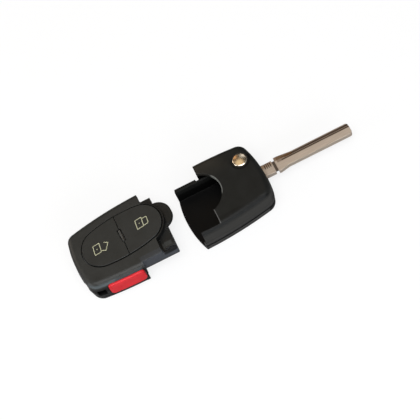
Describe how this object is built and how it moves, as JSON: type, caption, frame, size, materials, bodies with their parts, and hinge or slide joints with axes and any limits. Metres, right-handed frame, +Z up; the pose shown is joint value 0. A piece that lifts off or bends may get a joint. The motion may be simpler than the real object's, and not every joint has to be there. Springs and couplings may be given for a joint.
{
  "type": "flip key remote shell",
  "caption": "Two-part folding car key shell: head with swing-out uncut blade and chrome release button, sliding remote half with oval keypad, red side button and key-ring eye.",
  "frame": {"origin": "middle of the underside's bounding box, with the blade open and the remote drawn out", "axes": "+X along the key towards the blade's tip, +Z up through the keypad"},
  "size_m": [0.1552, 0.0416, 0.0173],
  "materials": {
    "black_case": "satin, finely textured moulding",
    "key_plastic": "smooth satin",
    "red_plastic": "smooth semi-gloss",
    "clear_lens": "clear light pipe",
    "chrome_button": "polished plating",
    "nickel_silver": "lightly brushed, warm",
    "hub_plastic": "plain moulding",
    "plain_steel": "plain",
    "spring_steel": "bright wire",
    "inner_plastic": "plain moulding",
    "mat_rubber": "soft silicone",
    "plated_contact": "nickel plated"
  },
  "bodies": {
    "head": {"head_top_case": "black_case", "head_bottom_case": "black_case", "flip_spring": "spring_steel", "case_screw": "plain_steel", "chip_holder": "inner_plastic"},
    "blade": {"key_blade": "nickel_silver", "blade_hub": "hub_plastic", "blade_roll_pin": "plain_steel"},
    "release": {"release_button": "chrome_button"},
    "remote": {"remote_top_cover": "black_case", "remote_bottom_cover": "black_case", "keypad_mat": "mat_rubber", "led_lens": "clear_lens", "panic_pad": "mat_rubber", "battery_holder": "inner_plastic", "lower_contact": "plated_contact", "upper_contact": "plated_contact"},
    "unlock": {"unlock_button": "key_plastic"},
    "lock": {"lock_button": "key_plastic"},
    "panic": {"panic_button": "red_plastic"}
  },
  "joints": [
    {"name": "blade_flip", "type": "hinge", "parent": "head", "child": "blade", "pos_m": [0.0206, 0.01004, 0.0083], "axis": [0, 0, 1], "range_deg": [0, 180]},
    {"name": "release_press", "type": "slide", "parent": "head", "child": "release", "axis": [0, 0, -1], "range_m": [0, 0.0012], "stiffness_N_per_m": 400, "springref_m": -0.001, "deforming": ["flip_spring"]},
    {"name": "remote_dock", "type": "slide", "parent": "head", "child": "remote", "axis": [1, 0, 0], "range_m": [0, 0.032]},
    {"name": "unlock_press", "type": "slide", "parent": "remote", "child": "unlock", "axis": [0, 0, -1], "range_m": [0, 0.0005], "stiffness_N_per_m": 500, "springref_m": -0.001},
    {"name": "lock_press", "type": "slide", "parent": "remote", "child": "lock", "axis": [0, 0, -1], "range_m": [0, 0.0005], "stiffness_N_per_m": 500, "springref_m": -0.001},
    {"name": "panic_press", "type": "slide", "parent": "remote", "child": "panic", "axis": [0.0425, 0.9991, 0], "range_m": [0, 0.0005], "stiffness_N_per_m": 500, "springref_m": -0.001}
  ]
}
